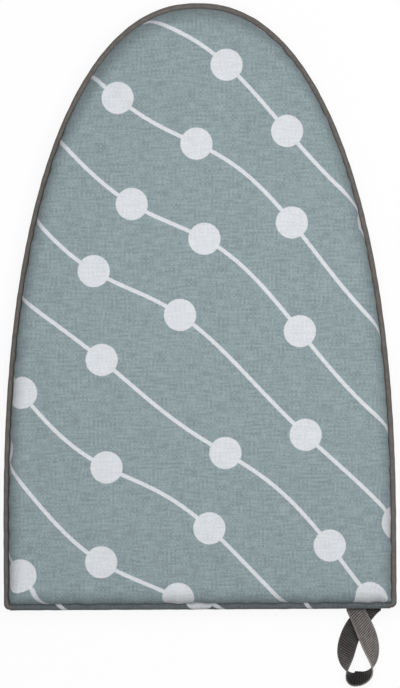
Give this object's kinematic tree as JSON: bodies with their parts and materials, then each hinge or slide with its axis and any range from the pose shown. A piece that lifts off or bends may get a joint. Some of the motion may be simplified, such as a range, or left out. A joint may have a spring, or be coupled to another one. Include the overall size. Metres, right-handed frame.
{
  "type": "ironing pad",
  "caption": "Hand-held padded ironing pad with a rounded nose, a printed cover with a piped edge, an elastic hand strap on the back and a webbing hanging loop.",
  "frame": {"origin": "on the surface that the pad lies on, under the middle of the hand strap", "axes": "+Z out of the ironing face, +Y along the pad from the straight end to the nose, +X across it to the side of the hanging loop"},
  "size_m": [0.2398, 0.4177, 0.0335],
  "materials": {
    "printed_cotton": "plain-weave printed cotton, matt",
    "edging_cotton": "dark cotton bias strip, matt",
    "back_twill": "dark polyester twill, matt",
    "webbing": "ribbed narrow webbing, slight sheen",
    "elastic": "woven elastic, ribbed along its length",
    "felt": "needled felt",
    "foam": "open-cell foam",
    "cord": "twisted cotton cord",
    "film": "metallised film",
    "hardboard": "pressed hardboard"
  },
  "bodies": {
    "pad": {"front_cover": "printed_cotton", "felt_layer": "felt", "steam_barrier": "film", "foam_layer": "foam", "core_board": "hardboard", "back_cover": "back_twill", "piping_cover": "edging_cotton", "piping_cord": "cord", "bottom_strip": "printed_cotton", "hand_strap": "elastic", "loop_end_upper": "webbing", "loop_end_lower": "webbing"},
    "loop": {"hanging_loop": "webbing"}
  },
  "joints": [
    {"name": "loop_swing", "type": "hinge", "parent": "pad", "child": "loop", "pos_m": [0.1, -0.167, 0.01205], "axis": [1, 0, 0], "range_deg": [-80, 80]}
  ]
}
